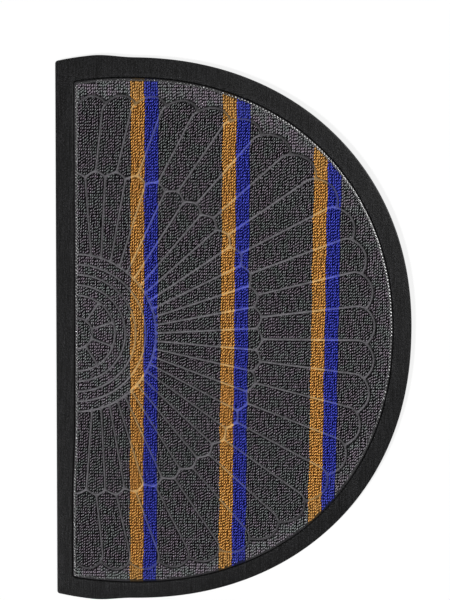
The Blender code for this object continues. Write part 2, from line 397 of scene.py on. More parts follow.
def arc_point(angle, inset):
    """A point of the arc, moved inwards at right angles to it."""
    c, s = math.cos(angle), math.sin(angle)
    u = math.copysign(abs(c) ** (2 / ARC_POWER), c)
    v = math.copysign(abs(s) ** (2 / ARC_POWER), s)
    nx = math.copysign(abs(u) ** (ARC_POWER - 1), u) / ARC_REACH
    ny = math.copysign(abs(v) ** (ARC_POWER - 1), v) / HALF_LENGTH
    length = math.hypot(nx, ny)
    x = ARC_CENTRE_X + ARC_REACH * u - inset * nx / length
    y = HALF_LENGTH * v - inset * ny / length
    return x, y


def corner_angle(x_wanted, inset):
    """The arc's angle, past its widest place, where it comes to x_wanted."""
    low, high = math.radians(90.0), math.radians(130.0)
    return halve_between(low, high, lambda angle: arc_point(angle, inset)[0] > x_wanted)


def uneven(point, inset):
    """Shifts a point of the outline by the moulding's unevenness."""
    x, y = point
    share = min(1.0, inset / RUBBER_BORDER)
    flare = CORNER_FLARE * (1 - soft_ramp(*CORNER_FLARE_SPAN, x))
    narrow = SIDE_NARROWING * soft_ramp(*SIDE_NARROWING_SPAN, -y)
    narrow *= 1 - soft_ramp(*SIDE_NARROWING_REACH, x)
    y += (1 - share) * math.copysign(flare, y) * soft_ramp(0.0, HALF_LENGTH / 2, abs(y))
    return x - share * narrow, y - share * TRAY_DROP


def outline(inset):
    """The mat's outline, moved inwards by inset and with the same number of points for any
    inset. It runs from the middle of the nose by the +Y corner and straight side and back."""
    quarter = math.radians(90.0)
    corner = arc_point(corner_angle(inset, inset), inset)
    start = corner_angle(corner[0] + CORNER_CUT, inset)
    half = [arc_point(quarter * i / ARC_STEPS, inset) for i in range(ARC_STEPS)]
    half += [
        arc_point(quarter + (start - quarter) * i / SHOULDER_STEPS, inset)
        for i in range(SHOULDER_STEPS + 1)
    ]
    a, b = half[-1], (corner[0], corner[1] - CORNER_CUT)
    for i in range(1, CORNER_STEPS + 1):
        t = i / CORNER_STEPS
        half.append(
            tuple((1 - t) ** 2 * a[k] + 2 * t * (1 - t) * corner[k] + t * t * b[k] for k in (0, 1))
        )
    side = [(b[0], b[1] * (1 - 2 * i / SIDE_STEPS)) for i in range(1, SIDE_STEPS)]
    whole = half + side + [(x, -y) for x, y in reversed(half[1:])]
    return [uneven(point, inset) for point in whole]


def along_outline(inset, pitch):
    """Points at an even pitch round the outline, and the outward direction at each."""
    edge = np.array(outline(inset))
    edge = np.vstack((edge, edge[:1]))
    travelled = np.concatenate(((0.0,), np.cumsum(np.hypot(*np.diff(edge, axis=0).T))))
    count = round(travelled[-1] / pitch)
    wanted = np.linspace(0.0, travelled[-1], count, endpoint=False)
    points = np.stack([np.interp(wanted, travelled, edge[:, k]) for k in (0, 1)], axis=-1)
    ahead = np.roll(points, -1, axis=0) - np.roll(points, 1, axis=0)
    ahead /= np.hypot(ahead[:, 0], ahead[:, 1])[:, None]
    return points, np.stack((ahead[:, 1], -ahead[:, 0]), axis=-1)


def place(point, z):
    """From the drawing to the part's own frame."""
    return (point[0] - MAT_WIDTH / 2, point[1], z)


def from_point(centre, radius, angle):
    return centre[0] + radius * math.cos(angle), centre[1] + radius * math.sin(angle)


def reach_to_circle(start, angle, centre, radius):
    """Distance from start, in the direction of angle, to a circle that start lies in."""
    dx, dy = start[0] - centre[0], start[1] - centre[1]
    half_b = dx * math.cos(angle) + dy * math.sin(angle)
    return -half_b + math.sqrt(half_b**2 - (dx**2 + dy**2 - radius**2))


def inner_row_reach(angle):
    """Distance from the fan's centre to the circle that the inner row's petal tips touch."""
    return reach_to_circle(FAN_CENTRE, angle, INNER_ROW_CENTRE, INNER_ROW_RADIUS)


def outer_row_reach(angle):
    """Distance from the fan's centre to the smaller arc that the outer row's tips touch."""

    def is_within(reach):
        x, y = from_point(FAN_CENTRE, reach, angle)
        u = abs(x - OUTER_ROW_CENTRE[0]) / OUTER_ROW_REACH[0]
        v = abs(y - OUTER_ROW_CENTRE[1]) / OUTER_ROW_REACH[1]
        return u**OUTER_ROW_POWER + v**OUTER_ROW_POWER < 1

    return halve_between(0.0, 2 * HALF_LENGTH, is_within)


def fan_angle(pitches):
    return math.radians(FAN_TURN_DEG + pitches * FAN_PITCH_DEG)


def scallop_route(reach, depth, power, tip_offset):
    """A line of round petal ends, from one straight-side line to the other."""
    steps = SCALLOP_HALF_COUNT * SCALLOP_STEPS
    route = []
    for i in range(-steps, steps + 1):
        turn = i / SCALLOP_STEPS
        from_tip = 2 * abs(turn - round(turn))
        angle = fan_angle(turn + tip_offset)
        route.append(from_point(FAN_CENTRE, reach(angle) - depth * from_tip**power, angle))
    return [p for p in route if p[0] > SIDE_LINE_X]


def inner_scallops():
    return scallop_route(inner_row_reach, INNER_SCALLOP_DEPTH, INNER_SCALLOP_POWER, 0.0)


@cache
def outer_scallops():
    tip = 0.5 + OUTER_ROW_SWIRL
    return scallop_route(outer_row_reach, OUTER_SCALLOP_DEPTH, OUTER_SCALLOP_POWER, tip)


def ring_routes():
    routes = []
    for radius in RING_RADII:
        turns = [math.pi * (i / RING_STEPS - 0.5) for i in range(RING_STEPS + 1)]
        arc = [from_point(RING_CENTRE, radius, turn) for turn in turns]
        routes.append([(SIDE_LINE_X, arc[0][1])] + arc + [(SIDE_LINE_X, arc[-1][1])])
    return routes


def hub_routes():
    return [
        [from_point(RING_CENTRE, radius, math.radians(deg)) for radius in RING_RADII[:2]]
        for deg in HUB_SPOKES_DEG
    ]


def inner_ray_routes():
    """Straight lines between the inner petals, from the outermost ring to the inner valleys."""
    routes = []
    for i in range(-FAN_HALF_COUNT - 1, FAN_HALF_COUNT + 1):
        angle = fan_angle(i + 0.5)
        end = from_point(FAN_CENTRE, inner_row_reach(angle) - INNER_SCALLOP_DEPTH, angle)
        turn = math.atan2(end[1] - INNER_RAY_POINT[1], end[0] - INNER_RAY_POINT[0])
        begin = reach_to_circle(INNER_RAY_POINT, turn, RING_CENTRE, RING_RADII[-1])
        routes.append([from_point(INNER_RAY_POINT, begin, turn), end])
    return routes


def outer_ray_routes():
    """Lines between the outer petals. Each bends over clockwise into a valley near its end."""
    routes = []
    for i in range(-FAN_HALF_COUNT, FAN_HALF_COUNT + 1):
        begin = inner_row_reach(fan_angle(i))
        finish = outer_row_reach(fan_angle(i + OUTER_ROW_SWIRL)) - OUTER_SCALLOP_DEPTH
        stops = [(begin, 0.0)]
        for k in range(RAY_BEND_STEPS + 1):
            t = k / RAY_BEND_STEPS
            turn = RAY_BEND_START + (OUTER_ROW_SWIRL - RAY_BEND_START) * t * t
            stops.append((finish - RAY_BEND_LENGTH * (1 - t), turn))
        routes.append([from_point(FAN_CENTRE, r, fan_angle(i + turn)) for r, turn in stops])
    return routes


def map_grid():
    """The map's places, x as a column and y as a row."""
    x, y = (
        corner + MAP_STEP * np.arange(round(size / MAP_STEP) + 1)
        for corner, size in zip(MAP_CORNER, MAP_SIZE)
    )
    return x[:, None], y[None, :]


def distance_map(routes):
    """Distance from each cell of the map to the nearest of the routes, up to MAP_REACH."""
    x, y = map_grid()
    near = np.full((x.size, y.size), MAP_REACH)
    for route in routes:
        for (ax, ay), (bx, by) in zip(route, route[1:]):
            i0, i1 = np.searchsorted(x[:, 0], (min(ax, bx) - MAP_REACH, max(ax, bx) + MAP_REACH))
            j0, j1 = np.searchsorted(y[0], (min(ay, by) - MAP_REACH, max(ay, by) + MAP_REACH))
            px, py = x[i0:i1] - ax, y[:, j0:j1] - ay
            dx, dy = bx - ax, by - ay
            t = np.clip((px * dx + py * dy) / (dx * dx + dy * dy), 0.0, 1.0)
            part = near[i0:i1, j0:j1]
            np.minimum(part, np.hypot(px - t * dx, py - t * dy), out=part)
    return near


@cache
def line_map():
    """Distance to the middle of the pressed lines, with the corners where they meet filled."""
    families = [
        ring_routes(),
        hub_routes(),
        inner_ray_routes(),
        [inner_scallops()],
        outer_ray_routes(),
        [outer_scallops()],
    ]
    total = sum(np.exp(-distance_map(routes) / WEB_SIZE) for routes in families)
    return -WEB_SIZE * np.log(total)


def inside(x, y, polygon):
    """Which places of the map lie in the polygon."""
    found = np.zeros((x.size, y.size), bool)
    for (ax, ay), (bx, by) in zip(polygon, polygon[1:] + polygon[:1]):
        if ay != by:
            crosses = (y < ay) != (y < by)
            found ^= crosses & (x < ax + (y - ay) * (bx - ax) / (by - ay))
    return found


@cache
def edge_map():
    """Distance inwards from the pile's edge, negative outside it."""
    edge = outline(PILE_INSET)
    near = distance_map([edge + edge[:1]])
    return np.where(inside(*map_grid(), edge), near, -near)


def dull_side(x, y):
    """1 on the side of the mat where the rim is pressed least."""
    turn = np.arctan2(y, x - ARC_CENTRE_X) - settings("press").dull_turn
    return soft_ramp(*DULL_SIDE_COSINES, np.cos(turn))


def towards_ends(y):
    """Rises from 0 in the mat's middle to 1 near its two ends."""
    return soft_ramp(*END_SPAN, np.abs(y))


@cache
def pile_edge_map():
    """Distance inwards from where the loops end: they stand further out on the dull side."""
    return edge_map() + settings("press").dull_reach * dull_side(*map_grid())


@cache
def outside_petals_map():
    """1 outside the outer petals' round ends and 0 on the petals."""
    x, y = map_grid()
    dx, dy = x - FAN_CENTRE[0], y - FAN_CENTRE[1]
    ends = np.array(outer_scallops()) - FAN_CENTRE
    turn, reach = np.arctan2(ends[:, 1], ends[:, 0]), np.hypot(ends[:, 0], ends[:, 1])
    limit = np.interp(np.arctan2(dy, dx), turn, reach)
    return soft_ramp(0.0, PETAL_EDGE_WIDTH, np.hypot(dx, dy) - limit)


@cache
def trench_map():
    """1 in the narrow cut that runs along the outside of the outer petals' ends."""
    wanted = settings("press").trench - TRENCH_DRIFT * towards_ends(map_grid()[1])
    away = (distance_map([outer_scallops()]) - wanted) / TRENCH_WIDTH
    return np.exp(-away * away) * outside_petals_map()


@cache
def flattened_map():
    """How flat the pile is pressed: most outside the fan at the mat's two ends, and a little
    between the rings."""
    x, y = map_grid()
    ends = outside_petals_map() * lifted(MIDDLE_FLATNESS, towards_ends(y))
    hub = np.hypot(x - RING_CENTRE[0], y) - RING_RADII[-1]
    return np.maximum(ends, HUB_FLATNESS * (1 - soft_ramp(-HUB_FADE, HUB_FADE, hub)))


@cache
def pile_map():
    """Height that the pile reaches, as a share of its full height over the ground."""
    press = settings("press")
    half = press.line_width / 2
    lines = soft_ramp(half, half + press.side_width, line_map())
    edge = soft_ramp(*PILE_EDGE_SPAN, pile_edge_map())
    height = np.minimum(lifted(LINE_PILE_SHARE, lines), lifted(EDGE_PILE_SHARE, edge))
    trench = press.trench_depth * trench_map() * (1 - FLAT_TRENCH_LOSS * flattened_map())
    return height * (1 - trench)


def sample(values, x, y):
    """Reads a map between its cells."""
    u = np.clip((x - MAP_CORNER[0]) / MAP_STEP, 0, values.shape[0] - 1.001)
    v = np.clip((y - MAP_CORNER[1]) / MAP_STEP, 0, values.shape[1] - 1.001)
    i, j = u.astype(int), v.astype(int)
    u, v = u - i, v - j
    low = values[i, j] * (1 - u) + values[i + 1, j] * u
    high = values[i, j + 1] * (1 - u) + values[i + 1, j + 1] * u
    return low * (1 - v) + high * v


def add_node(tree, kind, inputs=None, **options):
    """A node with its options set, and its inputs linked or set by name."""
    node = tree.nodes.new(kind)
    for name, value in options.items():
        setattr(node, name, value)
    for name, value in (inputs or {}).items():
        if isinstance(value, bpy.types.NodeSocket):
            tree.links.new(value, node.inputs[name])
        else:
            node.inputs[name].default_value = value
    return node


def calculate(tree, operation, *values):
    inputs = {i: value for i, value in enumerate(values)}
    return add_node(tree, "ShaderNodeMath", inputs, operation=operation).outputs[0]


def blend_colours(tree, share, a, b, how="MIX"):
    inputs = {0: share, 6: a, 7: b}
    return add_node(tree, "ShaderNodeMix", inputs, data_type="RGBA", blend_type=how).outputs[2]


def noise(tree, vector, scale, detail):
    inputs = {"Vector": vector, "Scale": scale, "Detail": detail}
    return add_node(tree, "ShaderNodeTexNoise", inputs).outputs[0]


def centred_noise(tree, vector, scale, detail):
    return calculate(tree, "SUBTRACT", noise(tree, vector, scale, detail), 0.5)


def scale_colour(tree, colour, factor):
    grey = add_node(tree, "ShaderNodeCombineColor", {0: factor, 1: factor, 2: factor}).outputs[0]
    return blend_colours(tree, 1.0, colour, grey, "MULTIPLY")


def read_attribute(tree, name):
    return add_node(tree, "ShaderNodeAttribute", attribute_name=name).outputs["Fac"]


def new_group(name, inputs, outputs):
    """A node group with named sockets: its tree, what it is given and what it puts out."""
    tree = bpy.data.node_groups.new(name, "ShaderNodeTree")
    for in_out, sockets in (("INPUT", inputs), ("OUTPUT", outputs)):
        for label, kind in sockets.items():
            tree.interface.new_socket(label, in_out=in_out, socket_type="NodeSocket" + kind)
    return tree, tree.nodes.new("NodeGroupInput").outputs, tree.nodes.new("NodeGroupOutput").inputs


def use_group(tree, group, inputs):
    return add_node(tree, "ShaderNodeGroup", inputs, node_tree=group).outputs


def object_coordinates(tree):
    return tree.nodes.new("ShaderNodeTexCoord").outputs["Object"]


@cache
def stripe_bands_group():
    """The yarn's colour by its place across the mat."""
    kinds = {"Field": "Color", "First": "Color", "Second": "Color"}
    tree, given, out = new_group("stripe_bands", kinds, {"Color": "Color"})
    place_in = object_coordinates(tree)
    x = add_node(tree, "ShaderNodeSeparateXYZ", {0: place_in}).outputs["X"]
    wander = noise(tree, place_in, scale=260.0, detail=1.0)
    x = calculate(tree, "MULTIPLY_ADD", wander, BAND_WANDER, x)
    start = FIRST_STRIPE_X - MAT_WIDTH / 2 + BAND_WANDER / 2
    along = calculate(tree, "FLOORED_MODULO", calculate(tree, "SUBTRACT", x, start), STRIPE_REPEAT)
    in_pair = calculate(tree, "LESS_THAN", along, 2 * STRIPE_WIDTH)
    in_first = calculate(tree, "LESS_THAN", along, STRIPE_WIDTH)
    pair = blend_colours(tree, in_first, given["Second"], given["First"])
    tree.links.new(blend_colours(tree, in_pair, given["Field"], pair), out["Color"])
    return tree


@cache
def mottle_group():
    """Uneven lightness of a colour."""
    kinds = {"Color": "Color", "Scale": "Float", "Amount": "Float"}
    tree, given, out = new_group("mottle", kinds, {"Color": "Color"})
    centred = centred_noise(tree, object_coordinates(tree), given["Scale"], detail=3.0)
    factor = calculate(tree, "MULTIPLY_ADD", centred, given["Amount"], 1.0)
    tree.links.new(scale_colour(tree, given["Color"], factor), out["Color"])
    return tree


@cache
def uneven_dye_group():
    """A faint drift of the dye between a warm and a cool cast."""
    kinds = {"Color": "Color", "Amount": "Float"}
    tree, given, out = new_group("uneven_dye", kinds, {"Color": "Color"})
    centred = centred_noise(tree, object_coordinates(tree), scale=110.0, detail=2.0)
    share = calculate(tree, "MULTIPLY_ADD", centred, DYE_CONTRAST, 0.5)
    cast = blend_colours(tree, share, solid(WARM_CAST), solid(COOL_CAST))
    tinted = blend_colours(tree, 1.0, given["Color"], cast, "MULTIPLY")
    tree.links.new(blend_colours(tree, given["Amount"], given["Color"], tinted), out["Color"])
    return tree


@cache
def grain_group():
    """Fine relief as a normal: fibres on yarn, or the skin of rubber."""
    kinds = {"Stretch": "Vector", "Scale": "Float", "Depth": "Float"}
    tree, given, out = new_group("grain", kinds, {"Normal": "Vector"})
    inputs = {0: object_coordinates(tree), 1: given["Stretch"]}
    stretched = add_node(tree, "ShaderNodeVectorMath", inputs, operation="MULTIPLY").outputs[0]
    height = noise(tree, stretched, given["Scale"], detail=2.0)
    bump = add_node(tree, "ShaderNodeBump", {"Height": height, "Distance": given["Depth"]})
    tree.links.new(bump.outputs[0], out["Normal"])
    return tree


def mottled(tree, colour, scale, amount):
    inputs = {"Color": colour, "Scale": scale, "Amount": amount}
    return use_group(tree, mottle_group(), inputs)["Color"]


def new_material(name, roughness, specular):
    material = bpy.data.materials.new(name)
    material.use_nodes = True
    shader = material.node_tree.nodes["Principled BSDF"]
    shader.inputs["Roughness"].default_value = roughness
    shader.inputs["Specular IOR Level"].default_value = specular
    return material, material.node_tree, shader.inputs


def solid(colour):
    return (*colour, 1.0)


def darkened(colour, share, power=1.0):
    """A share of a colour. A power over 1 makes it richer too, as painted bounce light deep in the
    pile.
    """
    return solid([share * part**power for part in colour])


def set_surface(tree, inputs, colour, scale, depth, stretch=(1.0, 1.0, 1.0)):
    """Gives a material's shader its colour, and its grain's scale, depth and stretch."""
    grain = use_group(tree, grain_group(), {"Stretch": stretch, "Scale": scale, "Depth": depth})
    tree.links.new(grain["Normal"], inputs["Normal"])
    tree.links.new(colour, inputs["Base Color"])


def yarn_material(name, colour, foot, tint=0.1):
    """Fluffy yarn with painted shade: darker and richer towards the loops' feet, sides and ends,
    and a little different from loop to loop.
    """
    pile = settings("pile")
    material, tree, inputs = new_material(name, roughness=0.95, specular=0.06)
    top = read_attribute(tree, "painted_yarn_shade")
    # Painted shade: the colour deepens to a darker, richer foot colour where the loop is shaded.
    shade = blend_colours(tree, top, darkened(colour, foot, PAINTED_BOUNCE_POWER), solid(colour))
    base = scale_colour(tree, shade, read_attribute(tree, "yarn_tone"))
    base = use_group(tree, uneven_dye_group(), {"Color": base, "Amount": tint})["Color"]
    base = mottled(tree, base, pile.fleck_scale, pile.flecks)
    set_surface(tree, inputs, base, scale=2600.0, depth=0.00012)
    return material


def banded_material(name, shares, finish, mottle, depth, power=1.0, tone=None):
    """A material in shares of the fields' and stripes' colours. Its finish is a roughness and a
    specular level, its depth the grain's, and tone an attribute that scales the colour."""
    pile = settings("pile")
    material, tree, inputs = new_material(name, *finish)
    bands = {
        "Field": darkened(pile.charcoal, shares[0], power),
        "First": darkened(pile.ochre, shares[1], power),
        "Second": darkened(pile.blue, shares[1], power),
    }
    colour = use_group(tree, stripe_bands_group(), bands)["Color"]
    colour = mottled(tree, colour, scale=520.0, amount=mottle)
    if tone:
        colour = scale_colour(tree, colour, read_attribute(tree, tone))
    set_surface(tree, inputs, colour, scale=1500.0, depth=depth)
    return material, tree, inputs


def ground_material():
    """The carpet's backing between the loops, its colour the yarn's darkened as painted shade."""
    shares = (PAINTED_GROUND_SHADE, PAINTED_STRIPE_GROUND_SHADE)
    look = {"finish": (1.0, 0.02), "mottle": 0.6, "depth": 0.0002, "power": PAINTED_BOUNCE_POWER}
    return banded_material("tufting_ground_painted_shade", shares, **look)[0]


def painted_shade_edge_material(name):
    """Fused yarn at the carpet's edge, dull, and darkened as painted crevice shade."""
    shares = (PAINTED_CREVICE_SHADE, PAINTED_CREVICE_SHADE)
    return banded_material(name, shares, finish=(0.8, 0.12), mottle=1.4, depth=0.00015)[0]


def line_material():
    """Yarn that the mould has pressed together into smooth lines."""
    press = settings("press")
    shares = (press.line_shade, press.stripe_line_shade)
    # The tone attribute carries the lines' painted shadow and their uneven fusing.
    look = {"finish": (0.6, 0.2), "mottle": 1.4, "depth": 0.00015, "tone": "line_tone_and_painted_shadow"}
    return banded_material("fused_yarn", shares, **look)[0]


def rim_material():
    """Fused yarn round the carpet, glossy in patches."""
    press = settings("press")
    shares = (RIM_SHADE, RIM_SHADE)
    look = {"finish": (press.rim_roughness, press.rim_gloss), "mottle": 0.6, "depth": 0.00004}
    material, tree, inputs = banded_material("fused_rim", shares, **look)
    patches = noise(tree, object_coordinates(tree), scale=330.0, detail=1.0)
    least = press.rim_roughness - RIM_PATCHES / 2
    patchy = calculate(tree, "MULTIPLY_ADD", patches, RIM_PATCHES, least)
    tree.links.new(calculate(tree, "MAXIMUM", patchy, LEAST_ROUGHNESS), inputs["Roughness"])
    return material


def rubber_material():
    """Dull moulded rubber with fine streaks along the mat, painted shade on its outer wall, and a
    painted highlight along its inner lip that is broken into dots like notches.
    """
    rubber = settings("rubber")
    material, tree, inputs = new_material("moulded_rubber", rubber.roughness, rubber.gloss)
    place_in = object_coordinates(tree)
    # Painted shade on the outer wall and painted highlight on the inner lip, read from the mesh.
    factor = read_attribute(tree, "painted_wall_shade_and_lip_highlight")
    for scale, strength in RUBBER_STREAKS:
        stretched = add_node(tree, "ShaderNodeMapping", {"Vector": place_in, "Scale": scale})
        streak = centred_noise(tree, stretched.outputs[0], scale=1.0, detail=2.0)
        change = calculate(tree, "MULTIPLY_ADD", streak, 2 * strength * rubber.streaks, 1.0)
        factor = calculate(tree, "MULTIPLY", factor, calculate(tree, "MAXIMUM", change, 0.1))
    # Painted highlight dots along the lip: a sine wave along Y lightens and darkens its colour,
    # with no relief.
    y = add_node(tree, "ShaderNodeSeparateXYZ", {0: place_in}).outputs["Y"]
    wave = calculate(tree, "SINE", calculate(tree, "MULTIPLY", y, math.tau / rubber.painted_notch_pitch))
    notch = calculate(tree, "MULTIPLY", wave, read_attribute(tree, "painted_lip_highlight_mask"))
    painted_notch_light = calculate(tree, "MULTIPLY_ADD", notch, PAINTED_NOTCH_HIGHLIGHT, 1.0)
    factor = calculate(tree, "MULTIPLY", factor, painted_notch_light)
    base = scale_colour(tree, solid(rubber.colour), factor)
    base = mottled(tree, base, 900.0, rubber.specks)
    set_surface(tree, inputs, base, scale=900.0, depth=0.00045, stretch=(1.0, 0.5, 1.0))
    return material


def new_object(name, data):
    """An object that is linked to the scene."""
    made = bpy.data.objects.new(name, data)
    bpy.context.scene.collection.objects.link(made)
    return made


def add_piece(name, mesh, materials):
    """A finished piece at the origin, riding on the frame."""
    for material in materials:
        mesh.materials.append(material)
    piece = new_object(name, mesh)
    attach(piece, "root")
    return piece


def add_attribute(mesh, name, values):
    attribute = mesh.attributes.new(name, "FLOAT", "POINT")
    attribute.data.foreach_set("value", np.asarray(values, np.float32))


def ring_edges(bm, ring):
    return [bm.edges.get((ring[i - 1], ring[i])) for i in range(len(ring))]


def extruded_ring(bm, ring, points):
    """Extrudes a closed ring of vertices and moves the new ring to points."""
    made = bmesh.ops.extrude_edge_only(bm, edges=ring_edges(bm, ring))["geom"]
    fresh = {item for item in made if isinstance(item, bmesh.types.BMVert)}
    copies = []
    for vert in ring:
        copies.append(next(o for e in vert.link_edges if (o := e.other_vert(vert)) in fresh))
    for vert, point in zip(copies, points):
        vert.co = point
    return copies


def stack_rings(bm, rings, cap_ends=False):
    """Joins rings of points one after another and returns the last ring's vertices."""
    made = bmesh.ops.create_circle(bm, cap_ends=cap_ends, segments=len(rings[0]), radius=0.1)
    ring = made["verts"]
    for vert, point in zip(ring, rings[0]):
        vert.co = point
    for points in rings[1:]:
        ring = extruded_ring(bm, ring, points)
    return ring


def finished_mesh(name, bm):
    mesh = bpy.data.meshes.new(name)
    bm.to_mesh(mesh)
    bm.free()
    mesh.shade_smooth()
    return mesh


def lofted_slab(name, profile):
    """A closed slab whose wall follows profile, rows of (inset, height), round the outline."""
    bm = bmesh.new()
    rings = [[place(p, height) for p in outline(inset)] for inset, height in profile]
    ring = stack_rings(bm, rings, cap_ends=True)
    bmesh.ops.edgeloop_fill(bm, edges=ring_edges(bm, ring))
    bmesh.ops.recalc_face_normals(bm, faces=bm.faces)
    mesh = finished_mesh(name, bm)
    for face in mesh.polygons:
        face.use_smooth = len(face.vertices) == 4
    return mesh


def rounded_edge(inset, top, size, side, steps=5):
    """Profile points up a wall at inset and over its rounded top edge."""
    width, height = size
    points = []
    for i in range(steps + 1):
        angle = math.radians(90.0 * i / steps)
        across = side * width * (1 - math.cos(angle))
        points.append((inset + across, top - height * (1 - math.sin(angle))))
    return points


def make_rubber_base():
    rubber = settings("rubber")
    lip = RUBBER_BORDER + rubber.lip_bulge
    lip_round = rounded_edge(lip, LIP_HEIGHT, (rubber.lip_round, LIP_ROUND_DEPTH), -1)
    profile = [
        *RUBBER_FOOT,
        *rounded_edge(0.0, RIM_HEIGHT, (rubber.rim_round, RIM_ROUND_DEPTH), 1, 7),
        *RUBBER_TOP,
        *reversed(lip_round),
        (lip, LIP_BOTTOM),
        *RUBBER_POCKET,
    ]
    mesh = lofted_slab("rubber_tray", profile)
    inset = np.repeat([row[0] for row in profile], len(outline(0.0)))
    # The inner lip's rounding is lightened in colour as a painted highlight.
    painted_lip_highlight_mask = soft_ramp(*LIP_HIGHLIGHT_RISE_SPAN, inset) * (1 - soft_ramp(*LIP_HIGHLIGHT_FALL_SPAN, inset))
    # Painted shade darkens the outer wall's rounding; a painted highlight lightens the inner lip.
    painted_wall_shade_and_lip_highlight = lifted(PAINTED_WALL_SHADE, soft_ramp(*PAINTED_WALL_SHADE_SPAN, inset)) + PAINTED_LIP_HIGHLIGHT * painted_lip_highlight_mask
    add_attribute(mesh, "painted_wall_shade_and_lip_highlight", painted_wall_shade_and_lip_highlight)
    add_attribute(mesh, "painted_lip_highlight_mask", painted_lip_highlight_mask)
    piece = add_piece("rubber_tray", mesh, [rubber_material()])
    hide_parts("rubber_base")


def make_carpet_sheet():
    """The carpet's backing, with its edge pressed flat."""
    profile = [
        (CARPET_INSET + 0.0001, CARPET_BOTTOM),
        (CARPET_INSET, CARPET_BOTTOM + 0.0001),
        *rounded_edge(CARPET_INSET, FUSED_EDGE_TOP, EDGE_ROUND, 1),
        (RIM_INSET, FUSED_EDGE_TOP),
        (PILE_INSET + 0.0002, GROUND_TOP),
    ]
    mesh = lofted_slab("carpet_sheet", profile)
    # Both colours are painted shade: the backing's between the loops, and the fused edge's in the
    # crevice beside the rubber.
    materials = [ground_material(), painted_shade_edge_material("fused_edge_painted_shade")]
    piece = add_piece("carpet_sheet", mesh, materials)
    for face in mesh.polygons:
        face.material_index = int(len(face.vertices) == 4)
    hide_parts("carpet")


def press_tones(x, y):
    """How light the yarn is at places on the lines: darkened as painted shadow where a line runs
    across the key light's way, as the pile beside it would shade it, darker near the outer petals'
    ends towards the mat's ends, and uneven along every line."""
    press = settings("press")
    gx, gy = np.gradient(line_map(), MAP_STEP)
    lift = gx * math.cos(press.shadow_turn) + gy * math.sin(press.shadow_turn)
    across = (lift / (np.hypot(gx, gy) + LEAST_SLOPE)) ** 2
    for axis in (0, 1):
        across = (np.roll(across, 1, axis) + across + np.roll(across, -1, axis)) / 3
    near_ends = 1 - soft_ramp(*PETAL_END_SPAN, distance_map([outer_scallops()]))
    ends = sample(near_ends, x, y) * END_LOSS * soft_ramp(*END_LOSS_SPAN, np.abs(y))
    # Painted shadow across the key light's way, times the darkening near the petals' ends.
    fused = (1 - PAINTED_SHADOW_LOSS * sample(across, x, y)) * (1 - ends)
    return fused * (1 + FUSING_STRAY * waves(FUSING_WAVES, x, y))


def make_pressed_lines():
    """Smooth bands of yarn that the mould has pressed together."""
    press = settings("press")
    half = press.line_width / 2
    bm = bmesh.new()
    spans = [int(size / LINE_MESH_STEP) for size in MAP_SIZE]
    middle = [corner + size / 2 for corner, size in zip(MAP_CORNER, MAP_SIZE)]
    scale = Matrix.Diagonal((MAP_SIZE[0] / 2, MAP_SIZE[1] / 2, 1.0, 1.0))
    matrix = Matrix.Translation((*middle, 0.0)) @ scale
    bmesh.ops.create_grid(bm, x_segments=spans[0], y_segments=spans[1], size=1.0, matrix=matrix)
    co = np.array([vert.co[:2] for vert in bm.verts])
    x, y = co.T
    away = sample(line_map(), x, y)
    drop = soft_ramp(half * LINE_LEVEL_SHARE, half + press.side_width, away)
    height = LINE_FLOOR - (LINE_FLOOR - GROUND_TOP + LINE_SINK) * drop
    tones = bm.verts.layers.float.new("line_tone_and_painted_shadow")
    for vert, point, z, tone in zip(bm.verts, co, height, press_tones(x, y)):
        vert.co = place(point, z)
        vert[tones] = tone
    keep = (away < half + press.side_width) & (sample(edge_map(), x, y) > -LINE_OVERRUN)
    gone = [vert for vert, kept in zip(bm.verts, keep) if not kept]
    bmesh.ops.delete(bm, geom=gone, context="VERTS")
    mesh = finished_mesh("pressed_lines", bm)
    add_piece("pressed_lines", mesh, [line_material()])


def make_carpet_rim():
    """The carpet's fused rim: a band that slopes down outwards and swells at each yarn end."""
    press = settings("press")
    rng = np.random.default_rng(RIM_SEED)
    points, outward = along_outline(RIM_INSET, press.bead_pitch / RIM_PARTS)
    size = rng.normal(1.0, BEAD_STRAY, len(points) // RIM_PARTS + 1)
    along = np.arange(len(points)) / RIM_PARTS
    swell = (0.5 - 0.5 * np.cos(math.tau * along)) * size[along.astype(int)]
    swell = (swell - 0.5) * press.rim_swell
    sway = press.rim_sway * waves(RIM_WAVES, along, 0.0)
    dull = dull_side(points[:, 0], points[:, 1])
    rings = []
    for reach, height in RIM_SECTION:
        move = reach + sway + swell * (reach > 0)
        rise = height + (swell - press.dull_sink * dull) * (height > GROUND_TOP)
        places = points + move[:, None] * outward
        rings.append([place(point, z) for point, z in zip(places, rise)])
    bm = bmesh.new()
    stack_rings(bm, rings + rings[:1])
    bmesh.ops.remove_doubles(bm, verts=bm.verts, dist=1e-7)
    bmesh.ops.recalc_face_normals(bm, faces=bm.faces)
    # Faces on the dull side take the dark edge material, whose darkness is painted crevice shade.
    for face in bm.faces:
        middle = face.calc_center_median()
        face.material_index = int(dull_side(middle.x + MAT_WIDTH / 2, middle.y) > 0.5)
    mesh = finished_mesh("pile_rim", bm)
    add_piece("pile_rim", mesh, [rim_material(), painted_shade_edge_material("dull_rim_painted_shade")])


def column_shift(column, y):
    """How far a column's loops lie along the mat from even rows, by its needle's own feed."""
    return settings("pile").feed * waves(FEED_WAVES, column, y)


